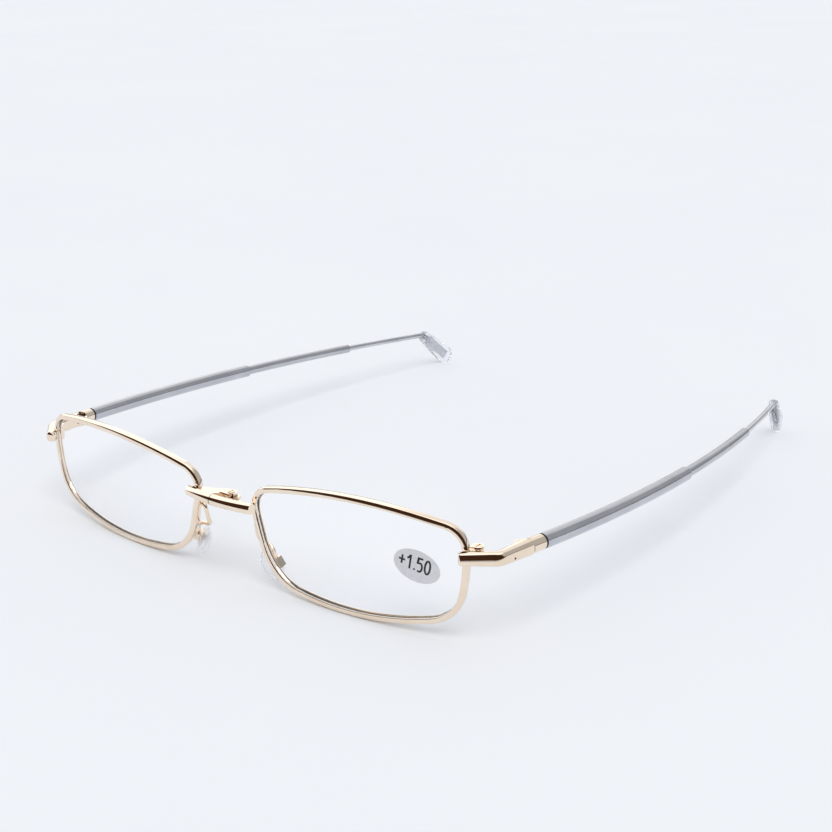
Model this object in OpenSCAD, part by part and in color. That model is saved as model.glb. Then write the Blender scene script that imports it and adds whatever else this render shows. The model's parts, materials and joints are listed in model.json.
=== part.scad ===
// Folding reading glasses with telescopic temples.
// Millimetres. +X is the wearer's left, +Y runs back along the temples, +Z is up.
// The glasses stand on the lower rims and on the temple tips, at z = 0.

/* [Lenses and rims] */
// Distance between the two lens centres
lens_spacing = 66; // [62:0.5:72]
// Rim width between its sharp corners
rim_w = 52; // [48:0.5:56]
// Height of the outer top corner above the lens centre
corner_top_out = 8.5; // [7:0.1:11]
// Height of the inner top corner above the lens centre
corner_top_in = 6.4; // [5:0.1:9]
// Depth of the outer bottom corner below the lens centre
corner_low_out = 10.4; // [9:0.1:13]
// Depth of the inner bottom corner below the lens centre
corner_low_in = 12.1; // [10:0.1:14]
// How far the lower outer corner is drawn in
slant_out = 2.1; // [0:0.1:4]
// How far the lower inner corner is drawn away from the nose
slant_in = 4.9; // [2:0.1:7]
// Rise of the arched top edge
arch_top = 3.5; // [1:0.1:5]
// Drop of the arched bottom edge
arch_low = 3.2; // [1:0.1:5]
// Bulge of the outer edge
arch_out = 1.3; // [0:0.1:2]
// Rounding length of the inner top corner
round_top_in = 5.5; // [3:0.1:7]
// Rounding length of the outer top corner
round_top_out = 3.7; // [3:0.1:7]
// Rounding length of the outer bottom corner
round_low_out = 5.1; // [3:0.1:7]
// Rounding length of the inner bottom corner
round_low_in = 7.2; // [3:0.1:8]
// Radius of the ball that the rims lie on
base_r = 134; // [90:1:200]
// Angle that each rim turns back towards its temple
wrap_angle = 4.5; // [0:0.5:8]
// Angle that the rims lean_angle forward at the top
lean_angle = 1.9; // [0:0.1:5]
// Thickness of the rim wire seen from the front
wire_w = 1.3; // [1.1:0.05:1.8]
// Depth of the rim wire from front to back
wire_d = 1.9; // [1.7:0.05:2.4]
// Width of the lens groove in the wire
groove_w = 1; // [0.8:0.05:1.2]
// Depth of the lens groove in the wire
groove_d = 0.5; // [0.4:0.05:0.6]
// Width of the slit where the rim opens for its lens
rim_slit = 0.3; // [0.2:0.05:0.5]
// Thickness of the lens at its centre
lens_t = 1.9; // [1.6:0.05:2.4]
// Thickness of the lens at its edge
lens_edge_t = 1.4; // [1.2:0.05:1.5]
// Gap between the lens and the wire round it
lens_gap = 0.05; // [0.03:0.01:0.08]

/* [Bridge] */
// Height of the bridge bar above the table
bridge_z = 18.5; // [16:0.1:20]
// Thickness of the bridge bar
bridge_bar_d = 2.4; // [2:0.1:3]
// Distance of the bar's middle in front of the lens plane
bridge_out = 3; // [2.5:0.1:4]
// Length of the bridge bar past the rim's innermost point
bridge_over = 0.7; // [0.4:0.1:1.2]
// Radius of the bar's forward arch
bridge_arch_r = 41; // [30:1:80]
// Distance of the butt joint from the middle, towards the right lens
bridge_seam_x = 1.3; // [0.8:0.1:2]
// Distance of the fold screw from the middle, towards the left lens
fold_x = 0.6; // [0:0.1:1]
// Distance of the fold screw behind the middle of the bar
fold_back = 3.8; // [3.7:0.1:4.5]
// Radius of the leaves round the fold screw
fold_leaf_r = 1.4; // [1.2:0.1:1.6]
// Thickness of each leaf of the bridge hinge
fold_leaf_t = 0.65; // [0.6:0.05:0.8]
// Diameter of the fold screw
fold_screw_d = 1.1; // [0.9:0.05:1.3]

/* [End pieces and temple hinges] */
// Distance of each end piece's tip inside the rim's outer edge
end_inset = 0.25; // [0:0.05:0.5]
// Distance of each end piece's tip in front of the rim wire
end_front = 2.55; // [2.4:0.05:2.7]
// Distance of the corner of each end piece outside the rim
end_reach = 5.6; // [5:0.1:8]
// Angle of the end piece's front leg
end_angle = 41.5; // [30:0.5:50]
// Height of an end piece's bar where it starts on the rim
end_tip_z = 19.1; // [18:0.1:20]
// Depth of the bar from front to back, where it starts
end_bar_d = 2.4; // [2:0.1:3]
// Height of the bar where it starts
end_bar_h = 2.7; // [2.4:0.1:3.2]
// Radius of the corner's bend
end_corner_r = 3.2; // [2:0.1:4]
// Distance from the lens plane back to the hinge seam
hinge_seam_y = 16; // [14:0.1:19]
// Height of the temple at its hinge
hinge_z = 18.3; // [17.5:0.1:19]
// Distance of the hinge screw inside the temple's centre line
hinge_inset = 1.3; // [1.1:0.1:1.6]
// Distance of the hinge screw in front of the seam
hinge_front = 0.2; // [0:0.1:0.4]
// Radius of the hinge leaves
hinge_leaf_r = 1.45; // [1.3:0.05:1.6]
// Height of the whole stack of hinge leaves
hinge_stack_h = 2.3; // [2.1:0.1:2.9]
// Height of the stack's middle below the temple's centre line
hinge_drop = 0.3; // [0:0.1:0.3]
// Height of the temple's leaf in the middle of the stack
hinge_mid_h = 0.9; // [0.8:0.05:1.1]
// Diameter of the hinge screw
hinge_screw_d = 1.2; // [1:0.05:1.4]
// Radius of the clamp block round its screw
clamp_r = 1.2; // [1.1:0.05:1.3]
// Thickness of the clamp block's upper half
clamp_h = 0.5; // [0.45:0.05:0.8]
// Diameter of the screw that closes a rim
rim_screw_d = 0.9; // [0.8:0.05:1]

/* [Temples] */
// Radius of the curve of each temple, seen from above
temple_r = 386; // [330:1:500]
// Angle that the temple sets out at, away from the head
temple_out_angle = 6.1; // [4:0.1:8]
// Angle that the temple slopes down to the back
temple_slope_angle = 3.3; // [2:0.1:4]
// Length of the gold ferrule behind the hinge
ferrule_l = 3.9; // [3.5:0.1:6]
// Diameter of the gold ferrule
ferrule_d = 3.3; // [3.1:0.05:3.8]
// Length of the outer tube
outer_l = 58.2; // [50:0.1:66]
// Diameter of the outer tube
outer_d = 3.3; // [3.2:0.05:3.6]
// Wall of the outer tube
outer_wall = 0.18; // [0.15:0.01:0.22]
// Length of the middle tube that shows when drawn out
middle_show = 40.1; // [30:0.1:43]
// Diameter of the middle tube
middle_d = 2.45; // [2.35:0.05:2.55]
// Wall of the middle tube
middle_wall = 0.18; // [0.15:0.01:0.2]
// Length of the rod that shows when drawn out, up to its bend
rod_show = 29.4; // [20:0.1:32]
// Diameter of the rod
rod_d = 1.55; // [1.4:0.05:1.6]
// Length of each slip bush on the inner end of a tube or rod
bush_l = 5; // [3:0.5:6]
// Radial running clearance of the sliding pieces
slide_gap = 0.05; // [0.03:0.01:0.08]
// Room left in front of a sliding piece when it is pushed in
slide_rest = 1; // [0.5:0.5:3]

/* [Tips] */
// Angle of the tip below the temple
tip_angle = 42; // [38:1:55]
// Radius of the rod's bend at the tip
bend_r = 2.6; // [2:0.1:4]
// Length of the flattened, ribbed end of the rod
strip_l = 10; // [6:0.5:10.5]
// Width of the flattened end
strip_w = 2.6; // [2:0.1:2.8]
// Thickness of the flattened end
strip_t = 0.8; // [0.6:0.05:1]
// Width of the clear tip at its widest
tip_w = 5.6; // [5:0.1:6]
// Thickness of the clear tip
tip_t = 2.3; // [2:0.1:3]
// Radius of the clear tip's rounded top, round the bend
cap_r = 1.75; // [1.5:0.05:2.2]
// Distance between the ribs on the flattened end
rib_step = 1; // [0.8:0.1:1.5]

/* [Nose pads] */
// Distance of each pad's middle outside the rim's innermost point
pad_side = 1.8; // [1.5:0.1:2.5]
// Distance of the pad's middle behind the lens plane
pad_y = 2.65; // [2.5:0.05:4]
// Height of the pad's middle
pad_z = 4.8; // [4.5:0.1:6]
// Height of a pad
pad_h = 7.4; // [7:0.1:8]
// Width of a pad
pad_w = 4.8; // [4.5:0.1:5.5]
// Thickness of a pad
pad_t = 1.3; // [1.1:0.1:1.5]
// Radius of the pad's domed face
pad_dome_r = 18; // [12:1:30]
// Angle that the pads open towards the face
splay_angle = 7.5; // [0:0.5:15]
// Angle that the pads open towards the bottom
flare_angle = 18; // [12:1:22]
// Angle that the bottom of each pad leans back
tilt_angle = 21; // [15:1:25]
// Distance of the pad's box behind the middle of the pad
pad_back = 0.8; // [0.6:0.1:1]
// Thickness of the pad arm's wire
arm_d = 0.9; // [0.8:0.05:1]
// Diameter of the pad screw
pad_screw_d = 0.8; // [0.7:0.05:0.85]

/* [Hidden] */

// Clearances that the fits are made with
run_gap = 0.05;
face_gap = 0.15;
free_gap = 0.3;

// Vectors and small helpers
function unit(a) = a / norm(a);
function rx(p, a) = [p[0], p[1] * cos(a) - p[2] * sin(a), p[1] * sin(a) + p[2] * cos(a)];
function rz(p, a) = [p[0] * cos(a) - p[1] * sin(a), p[0] * sin(a) + p[1] * cos(a), p[2]];
function ring_faces(n, m, i, j) = let(
    a = i * m + j,
    b = i * m + (j + 1) % m,
    c = ((i + 1) % n) * m + j,
    d = ((i + 1) % n) * m + (j + 1) % m
) [[a, c, b], [b, c, d]];

// Outline of the rim wire's middle line, seen from the front: u runs to the temple, v up
corners = [
    [-rim_w / 2, corner_top_in],
    [rim_w / 2, corner_top_out],
    [rim_w / 2 - slant_out, -corner_low_out],
    [-rim_w / 2 + slant_in, -corner_low_in]
];
bulge = [arch_top, arch_out, arch_low, -0.3];
rounds = [round_top_in, round_top_out, round_low_out, round_low_in];
edge_steps = 12;
turn_steps = 10;
function side(i) = corners[(i + 1) % 4] - corners[i];
function side_n(i) = let(t = unit(side(i))) [-t[1], t[0]];
function edge_at(i, f) = corners[i] + side(i) * f + side_n(i) * bulge[i] * 4 * f * (1 - f);
function edge_dir(i, f) = side(i) + side_n(i) * bulge[i] * 4 * (1 - 2 * f);
function f_in(i) = rounds[i] / norm(side(i));
function f_out(i) = 1 - rounds[(i + 1) % 4] / norm(side(i));
function meet(p, a, q, b) = let(
    det = a[0] * b[1] - a[1] * b[0],
    k = ((q[0] - p[0]) * b[1] - (q[1] - p[1]) * b[0]) / det
) p + a * k;
function turn_at(i, f) = let(
    j = (i + 1) % 4,
    p = edge_at(i, f_out(i)),
    q = edge_at(j, f_in(j)),
    m = meet(p, edge_dir(i, f_out(i)), q, edge_dir(j, f_in(j))),
    g = p + (m - p) * 0.58,
    h = q + (m - q) * 0.58,
    e = 1 - f
) p * e * e * e + g * 3 * e * e * f + h * 3 * e * f * f + q * f * f * f;
outline = [
    for (i = [0:3]) each concat(
        [for (k = [0:edge_steps - 1]) edge_at(i, f_in(i) + (f_out(i) - f_in(i)) * k / edge_steps)],
        [for (k = [0:turn_steps - 1]) turn_at(i, k / turn_steps)]
    )
];
steps = len(outline);
normals = [
    for (i = [0:steps - 1]) let(
        t = unit(outline[(i + 1) % steps] - outline[(i + steps - 1) % steps])
    ) [-t[1], t[0]]
];

// A point of the rim's own frame: n out of the outline, w back along the lens normal
function on_ball(i, n, w) = let(
    p = outline[i],
    o = normals[i],
    y = (p[0] * p[0] + p[1] * p[1]) / (2 * base_r),
    back = unit([-p[0] / base_r, 1, -p[1] / base_r]),
    out = unit([o[0], (o[0] * p[0] + o[1] * p[1]) / base_r, o[1]])
) [p[0], y, p[1]] + out * n + back * w;
function turned(p) = rz(rx(p, lean_angle), wrap_angle);
rim_section = [
    [-wire_w / 2, -groove_w / 2],
    [-wire_w / 2 + groove_d, 0],
    [-wire_w / 2, groove_w / 2],
    [-wire_w / 2, wire_d / 2 - 0.15],
    [-wire_w / 2 + 0.15, wire_d / 2],
    [wire_w / 2 - 0.3, wire_d / 2],
    [wire_w / 2, wire_d / 2 - 0.35],
    [wire_w / 2, -wire_d / 2 + 0.35],
    [wire_w / 2 - 0.3, -wire_d / 2],
    [-wire_w / 2 + 0.15, -wire_d / 2],
    [-wire_w / 2, -wire_d / 2 + 0.15]
];
lens_z = -min([for (i = [0:steps - 1]) for (q = rim_section) turned(on_ball(i, q[0], q[1]))[2]]);
lens_pos = [lens_spacing / 2, 0, lens_z];
function placed(p) = turned(p) + lens_pos;
function rim_at(i) = placed(on_ball(i, 0, 0));
rim_x = [for (i = [0:steps - 1]) rim_at(i)[0]];
rim_side = rim_at(search(max(rim_x), rim_x)[0]);
rim_nose = rim_at(search(min(rim_x), rim_x)[0]);
end_tip = [rim_side[0] - end_inset, rim_side[1] - end_front];
corner_x = rim_side[0] + end_reach;
corner_y = end_tip[1] + (corner_x - end_tip[0]) * tan(end_angle);

// Curve of the temple: an arc in a plane that slopes down to the back
ring_l = 0.55;
collar_l = 1.6;
stop_gap = 0.2;
wall_in = outer_d / 2 - outer_wall;
mid_in = middle_d / 2 - middle_wall;
ferrule_full = face_gap + ferrule_l + ring_l;
temple_x = corner_x + (hinge_seam_y - corner_y) * tan(temple_out_angle);
seam = [temple_x, hinge_seam_y, hinge_z];
function radial(t) = [cos(t), sin(t) * cos(temple_slope_angle), -sin(t) * sin(temple_slope_angle)];
function tangent(t) = [-sin(t), cos(t) * cos(temple_slope_angle), -cos(t) * sin(temple_slope_angle)];
lift = [0, sin(temple_slope_angle), cos(temple_slope_angle)];
arc_centre = seam + tangent(-temple_out_angle) * ferrule_full - radial(-temple_out_angle) * temple_r;
function turn_of(l) = -temple_out_angle + l / temple_r * 180 / PI;
l_outer = outer_l;
l_middle = outer_l + middle_show;
l_bend = l_middle + rod_show;
inside_l = bush_l + collar_l + stop_gap;
bend_a = tip_angle - temple_slope_angle;
end_turn = turn_of(l_bend);
bend_from = arc_centre + radial(end_turn) * temple_r;
bend_to = bend_from + tangent(end_turn) * bend_r * sin(bend_a) - lift * bend_r * (1 - cos(bend_a));
tip_dir = tangent(end_turn) * cos(bend_a) - lift * sin(bend_a);
tip_up = tangent(end_turn) * sin(bend_a) + lift * cos(bend_a);
tip_r = tip_w / 2;
tip_sink = tip_r * norm([tip_dir[2], tip_up[2]]) + abs(radial(end_turn)[2]) * tip_t / 2;
tip_reach = (bend_to[2] - tip_sink) / -tip_dir[2];
tip_end = bend_to + tip_dir * tip_reach;

// Middle of the whole part from front to back, which is the origin
y_front = -bridge_out - bridge_bar_d / 2;
y_back = tip_end[1] + tip_r * norm([tip_dir[1], tip_up[1]]) + abs(radial(end_turn)[1]) * tip_t / 2;
y_shift = -(y_front + y_back) / 2;

// Hinge of the temple
hinge_x = temple_x - hinge_inset;
hinge_y = hinge_seam_y - hinge_front;
hinge_mid_z = hinge_z - hinge_drop;
hinge_low = hinge_mid_z - hinge_stack_h / 2;
hinge_sweep_r = hinge_leaf_r + free_gap;

// Colours
gold = [0.93, 0.84, 0.70];
steel = [0.66, 0.67, 0.70];
clear = [0.86, 0.90, 0.94, 0.5];
dark = [0.12, 0.12, 0.13];

module at_origin() {
    translate([0, y_shift, 0]) children();
}
module right_of() {
    mirror([1, 0, 0]) children();
}
module arc_frame() {
    translate(arc_centre) rotate([-temple_slope_angle, 0, 0]) children();
}
module along(l) {
    arc_frame() rotate([0, 0, turn_of(l)]) translate([temple_r, 0, 0]) children();
}
module arc_piece(a, b) {
    arc_frame() rotate([0, 0, turn_of(a)]) rotate_extrude(angle = turn_of(b) - turn_of(a), $fn = 720)
        translate([temple_r, 0]) children();
}
module annulus(r_out, r_in) {
    difference() {
        circle(r = r_out, $fn = 48);
        circle(r = r_in, $fn = 48);
    }
}
module tip_frame() {
    along(l_bend) translate([0, bend_r * sin(bend_a), -bend_r * (1 - cos(bend_a))])
        rotate([-bend_a, 0, 0]) children();
}
module loft(rings) {
    n = len(rings);
    m = len(rings[0]);
    polyhedron(
        points = [for (r = rings) each r],
        faces = concat(
            [for (i = [0:n - 2]) for (j = [0:m - 1]) each ring_faces(n + 1, m, i, j)],
            [[for (j = [0:m - 1]) j]],
            [[for (j = [0:m - 1]) (n - 1) * m + m - 1 - j]]
        ),
        convexity = 6
    );
}

// Rim wire with its lens groove, one closed ring
slit_low = end_tip_z + end_bar_h / 2 - 0.5;
slit_high = slit_low + rim_slit;
module rim_ring() {
    m = len(rim_section);
    polyhedron(
        points = [for (i = [0:steps - 1]) for (q = rim_section) placed(on_ball(i, q[0], q[1]))],
        faces = [for (i = [0:steps - 1]) for (j = [0:m - 1]) each ring_faces(steps, m, i, j)],
        convexity = 8
    );
}
module rim_left() {
    difference() {
        rim_ring();
        translate([rim_side[0] - 2 * wire_w, rim_side[1] - 2 * wire_d, slit_low])
            cube([4 * wire_w, 4 * wire_d, rim_slit]);
    }
}

// Lens: a shell with a bevelled edge
lens_in = wire_w / 2 + lens_gap;
edge_off = -lens_in;
bevel_off = edge_off + 0.38;
shrink = [1, 0.86, 0.6, 0.3];
function lens_half(f) = lens_t / 2 - (lens_t - lens_edge_t) / 2 * f * f;
function lens_at(i, f, s) = let(
    p = outline[i] + normals[i] * edge_off,
    q = p * f,
    y = (q[0] * q[0] + q[1] * q[1]) / (2 * base_r),
    back = unit([-q[0] / base_r, 1, -q[1] / base_r])
) [q[0], y, q[1]] + back * s * lens_half(f);
lens_rings = concat(
    [for (k = [3:-1:0]) [for (i = [0:steps - 1]) placed(lens_at(i, shrink[k], -1))]],
    [[for (i = [0:steps - 1]) placed(on_ball(i, edge_off, -0.42))]],
    [[for (i = [0:steps - 1]) placed(on_ball(i, bevel_off, 0))]],
    [[for (i = [0:steps - 1]) placed(on_ball(i, edge_off, 0.42))]],
    [for (k = [0:3]) [for (i = [0:steps - 1]) placed(lens_at(i, shrink[k], 1))]]
);
module lens_left() {
    n = len(lens_rings);
    polyhedron(
        points = concat(
            [for (r = lens_rings) each r],
            [placed([0, -lens_half(0), 0]), placed([0, lens_half(0), 0])]
        ),
        faces = concat(
            [for (i = [0:n - 2]) for (j = [0:steps - 1]) each ring_faces(n + 1, steps, i, j)],
            [for (j = [0:steps - 1]) [j, (j + 1) % steps, n * steps]],
            [for (j = [0:steps - 1]) [(n - 1) * steps + (j + 1) % steps, (n - 1) * steps + j, n * steps + 1]]
        ),
        convexity = 4
    );
}

// Soft-cornered bar section with its depth and height in half sizes
function bar_ring(p, dir, hd, hh) = let(
    r = [dir[1], -dir[0], 0]
) [
    for (k = [0:19]) let(
        c = cos(k * 18),
        s = sin(k * 18)
    ) p - r * hd * sign(c) * pow(abs(c), 0.75) + [0, 0, 1] * hh * sign(s) * pow(abs(s), 0.75)
];

// End piece: a bar that starts on the rim, turns the corner and ends at the hinge
leg_angle = 90 - temple_out_angle;
corner_cut = end_corner_r * tan((leg_angle - end_angle) / 2);
corner_start = [corner_x - corner_cut * cos(end_angle), corner_y - corner_cut * sin(end_angle)];
corner_c = corner_start + [-sin(end_angle), cos(end_angle)] * end_corner_r;
bar_path = concat(
    [[end_tip[0], end_tip[1], end_angle, 0.7]],
    [[end_tip[0] + 0.35 * cos(end_angle), end_tip[1] + 0.35 * sin(end_angle), end_angle, 1]],
    [for (k = [0:6]) let(a = end_angle + (leg_angle - end_angle) * k / 6)
        [corner_c[0] + end_corner_r * sin(a), corner_c[1] - end_corner_r * cos(a), a, 1]],
    [[temple_x, hinge_seam_y, 90, 1]]
);
bar_rings = [
    for (q = bar_path) let(
        f = (q[0] + q[1] - end_tip[0] - end_tip[1]) / (temple_x + hinge_seam_y - end_tip[0] - end_tip[1]),
        z = end_tip_z + (hinge_z - end_tip_z) * f,
        hd = (end_bar_d / 2 + (ferrule_d - end_bar_d) / 2 * max(0, f * 2 - 1)) * q[3],
        hh = (end_bar_h / 2 + (ferrule_d - end_bar_h) / 2 * f) * (q[3] + 1) / 2
    ) bar_ring([q[0], q[1], z], [cos(q[2]), sin(q[2]), 0], hd, hh)
];
module hinge_plan() {
    translate([hinge_x, hinge_y]) circle(r = hinge_leaf_r, $fn = 48);
    polygon([
        [hinge_x, hinge_y],
        [hinge_x - hinge_leaf_r / 2, hinge_y - hinge_leaf_r * sin(60)],
        [temple_x - 1.7, hinge_seam_y - 3.8],
        [temple_x - 1.2, hinge_seam_y - 6.1],
        [temple_x - 0.4, hinge_seam_y - 6.1],
        [temple_x - 0.4, hinge_seam_y]
    ]);
}
module at_hinge(z) {
    translate([hinge_x, hinge_y, z]) children();
}
head_r = hinge_screw_d / 2 + 0.35;
head_h = 0.35;
screw_slot_w = 0.25;
pin_hole_d = 0.5;
pin_hole_y = hinge_seam_y - 5.5;
pin_hole_turn = 20;
module pin_hole() {
    f = (hinge_seam_y - pin_hole_y) / (hinge_seam_y - corner_y);
    translate([temple_x + (corner_x - temple_x) * f, pin_hole_y, hinge_z + (end_tip_z - hinge_z) * f / 2])
        rotate([0, 90 + pin_hole_turn, 0]) translate([0, 0, end_bar_d / 2 - pin_hole_d])
            cylinder(d = pin_hole_d, h = end_bar_d, $fn = 24);
}
module end_piece_left() {
    difference() {
        union() {
            loft(bar_rings);
            translate([0, 0, hinge_low]) linear_extrude(hinge_stack_h) hinge_plan();
        }
        pin_hole();
        at_hinge(hinge_mid_z - hinge_mid_h / 2 - run_gap)
            cylinder(r = hinge_sweep_r, h = hinge_mid_h + 2 * run_gap, $fn = 48);
        at_hinge(hinge_low - 1) cylinder(d = hinge_screw_d, h = hinge_stack_h + 2, $fn = 32);
        at_hinge(hinge_low + hinge_stack_h - head_h) cylinder(r = head_r, h = 2, $fn = 32);
    }
}
module hinge_screw_left() {
    difference() {
        union() {
            at_hinge(hinge_low) cylinder(d = hinge_screw_d, h = hinge_stack_h - head_h, $fn = 32);
            at_hinge(hinge_low + hinge_stack_h - head_h) cylinder(r = head_r, h = head_h, $fn = 32);
        }
        at_hinge(hinge_low + hinge_stack_h) cube([screw_slot_w, 3 * head_r, head_h], center = true);
    }
}

// Clamp block behind the end piece, cut where the rim is slit
clamp_low = end_tip_z - end_bar_h / 2 - 0.4;
clamp_top = slit_high + clamp_h;
clamp_at = end_tip + [cos(end_angle), sin(end_angle)] * 4.1
    + [-sin(end_angle), cos(end_angle)] * (end_bar_d / 2 + clamp_r - 0.28);
clamp_side = [rim_side[0] + wire_w / 2 - 0.3, rim_side[1]];
clamp_head_r = rim_screw_d / 2 + 0.3;
clamp_head_h = 0.3;
module at_clamp(z) {
    translate([clamp_at[0], clamp_at[1], z]) children();
}
module clamp_plan(bore) {
    difference() {
        union() {
            polygon([
                clamp_side + [0, -0.1],
                clamp_at + [0, -clamp_r],
                clamp_at + [0, clamp_r],
                clamp_side + [0, wire_d * 0.8]
            ]);
            translate(clamp_at) circle(r = clamp_r, $fn = 40);
        }
        translate(clamp_at) circle(d = bore, $fn = 32);
    }
}
module clamp_upper_left() {
    difference() {
        translate([0, 0, slit_high]) linear_extrude(clamp_h) clamp_plan(rim_screw_d + 0.2);
        at_clamp(clamp_top - clamp_head_h) cylinder(r = clamp_head_r + 0.02, h = 2 * clamp_head_h, $fn = 32);
    }
}
module clamp_lower_left() {
    translate([0, 0, clamp_low]) linear_extrude(slit_low - clamp_low) clamp_plan(rim_screw_d);
}
module clamp_screw_left() {
    difference() {
        union() {
            at_clamp(clamp_low) cylinder(d = rim_screw_d, h = clamp_top - clamp_head_h - clamp_low, $fn = 32);
            at_clamp(clamp_top - clamp_head_h) cylinder(r = clamp_head_r, h = clamp_head_h, $fn = 32);
        }
        at_clamp(clamp_top) cube([screw_slot_w, 3 * clamp_head_r, clamp_head_h], center = true);
    }
}

// Bridge: two bars that meet at a butt joint, and leaves round a screw behind them
bar_c = bridge_arch_r - bridge_out;
fold_y = fold_back - bridge_out;
fold_stack = 3 * fold_leaf_t + 2 * run_gap;
fold_head_r = fold_screw_d / 2 + 0.35;
fold_head_h = 0.35;
gusset_h = fold_stack - 0.35;
bridge_reach = rim_nose[0] + bridge_over;
foot_r = 0.8;
foot_x = rim_nose[0] + wire_w / 2 - foot_r - 0.05;
foot_y = rim_nose[1] - groove_w / 2 - 0.1;
gusset_x = foot_x - 0.3;
fold_clear = fold_leaf_r + free_gap;
function bar_turn(x) = asin(x / bridge_arch_r);
function bar_y(x) = bar_c - bridge_arch_r * cos(bar_turn(x));
module bar_piece(a, b) {
    translate([0, bar_c, bridge_z]) rotate([0, 0, bar_turn(a) - 90])
        rotate_extrude(angle = bar_turn(b) - bar_turn(a), $fn = 360)
            translate([bridge_arch_r, 0]) circle(d = bridge_bar_d, $fn = 40);
}
module rim_foot(x) {
    translate([x, bar_y(x), bridge_z]) rotate([-90, 0, 0])
        cylinder(r = foot_r, h = foot_y - bar_y(x), $fn = 32);
}
module at_fold(h) {
    translate([fold_x, fold_y, bridge_z - h / 2]) children();
}
module leaf_plan(a, b) {
    polygon([
        [fold_x, fold_y - fold_leaf_r],
        [a, fold_y - fold_leaf_r],
        [a, bar_y(a) + 0.4],
        [b, bar_y(b) + 0.4],
        [b, bar_y(b) + bridge_bar_d / 2 + 0.2],
        [(a + b) / 2, (fold_y + bar_y(b) + bridge_bar_d / 2 + 1) / 2],
        [a, fold_y + fold_leaf_r * 0.7],
        [fold_x, fold_y + fold_leaf_r]
    ]);
    translate([fold_x, fold_y]) circle(r = fold_leaf_r, $fn = 48);
}
module low_web(root) {
    polygon([
        [root, bar_y(root) + 0.4],
        [gusset_x, bar_y(gusset_x) + 0.4],
        [gusset_x, bar_y(gusset_x) + bridge_bar_d / 2 + 0.2],
        [(root + gusset_x) / 2, bar_y(root) + bridge_bar_d / 2 + 1],
        [root, fold_y + 0.3]
    ]);
}
module left_bridge() {
    root = fold_x + fold_clear + 0.3;
    difference() {
        union() {
            bar_piece(-bridge_seam_x + face_gap / 2, bridge_reach);
            rim_foot(foot_x);
            difference() {
                translate([0, 0, bridge_z - gusset_h / 2]) linear_extrude(gusset_h / 2) low_web(root);
                at_fold(gusset_h + 1) cylinder(r = fold_clear, h = gusset_h + 2, $fn = 48);
            }
            translate([0, 0, bridge_z - fold_leaf_t / 2]) linear_extrude(fold_leaf_t)
                leaf_plan(root, root + 0.8);
        }
        at_fold(6) cylinder(r = fold_screw_d / 2 + run_gap, h = 6, $fn = 32);
    }
}
module right_bridge() {
    difference() {
        union() {
            bar_piece(-bridge_reach, -bridge_seam_x - face_gap / 2);
            rim_foot(-foot_x);
            translate([0, 0, bridge_z - gusset_h / 2]) linear_extrude(gusset_h)
                leaf_plan(-bridge_seam_x - face_gap, -gusset_x);
            at_fold(fold_stack) linear_extrude(fold_stack) translate([-fold_x, -fold_y]) intersection() {
                leaf_plan(-bridge_seam_x - face_gap, -gusset_x);
                translate([fold_x, fold_y]) circle(r = fold_clear + 0.6, $fn = 48);
            }
        }
        at_fold(fold_leaf_t + 2 * run_gap) cylinder(r = fold_clear, h = fold_leaf_t + 2 * run_gap, $fn = 48);
        at_fold(6) cylinder(d = fold_screw_d, h = 6, $fn = 32);
        at_fold(0) translate([0, 0, fold_stack / 2 - fold_head_h]) cylinder(r = fold_head_r, h = 2, $fn = 32);
    }
}
module fold_screw() {
    difference() {
        union() {
            at_fold(fold_stack) cylinder(d = fold_screw_d, h = fold_stack - fold_head_h, $fn = 32);
            at_fold(0) translate([0, 0, fold_stack / 2 - fold_head_h])
                cylinder(r = fold_head_r, h = fold_head_h + 0.1, $fn = 32);
        }
        at_fold(0) translate([0, 0, fold_stack / 2 + 0.1])
            cube([screw_slot_w, 3 * fold_head_r, fold_head_h], center = true);
    }
}

// Nose pads: x is away from the nose, y back along the pad, z along its height
pad_mid = [rim_nose[0] + pad_side, pad_y, pad_z];
function ry(p, a) = [p[0] * cos(a) + p[2] * sin(a), p[1], -p[0] * sin(a) + p[2] * cos(a)];
function pad_pt(p) = rz(rx(ry(p + [0, pad_back, 0], -flare_angle), tilt_angle), -splay_angle) + pad_mid;
pad_axis = pad_t / 2 + 0.9;
boss_r = pad_screw_d / 2 + 0.3;
boss_w = 1;
box_from = pad_t / 2 + 0.35;
box_h = boss_r + 0.45;
cavity_h = boss_r + 0.2;
module pad_frame() {
    translate(pad_mid) rotate([0, 0, -splay_angle]) rotate([tilt_angle, 0, 0]) rotate([0, -flare_angle, 0])
        children();
}
module boss_frame() {
    pad_frame() translate([0, pad_back, 0]) children();
}
module pad_pin_frame() {
    boss_frame() translate([pad_axis, 0, 0]) rotate([90, 0, 0]) children();
}
module pad_block(x, wx, y, z) {
    translate([x, -y, -z]) cube([wx, 2 * y, 2 * z]);
}
module pad_shape() {
    intersection() {
        translate([-pad_t / 2, 0, 0]) rotate([90, 0, 90]) linear_extrude(pad_t) union() {
            translate([0, (pad_h - pad_w) / 2]) circle(d = pad_w, $fn = 48);
            translate([0, -(pad_h - pad_w) / 2]) circle(d = pad_w, $fn = 48);
            square([pad_w, pad_h - pad_w], center = true);
        }
        translate([pad_dome_r - pad_t / 2, 0, 0]) sphere(r = pad_dome_r, $fn = 300);
    }
}
module pad_left() {
    difference() {
        union() {
            pad_frame() pad_shape();
            boss_frame() pad_block(pad_t / 2 - 0.3, pad_axis - pad_t / 2 + 0.3, boss_w / 2, 0.45);
            pad_pin_frame() cylinder(r = boss_r, h = boss_w, center = true, $fn = 32);
        }
        pad_pin_frame() cylinder(r = pad_screw_d / 2 + run_gap, h = 4 * boss_w, center = true, $fn = 32);
    }
}
arm_k = 3 * (edge_steps + turn_steps) + 8;
arm_from = placed(on_ball(arm_k, 0.1, wire_d / 2 - 0.25));
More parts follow.
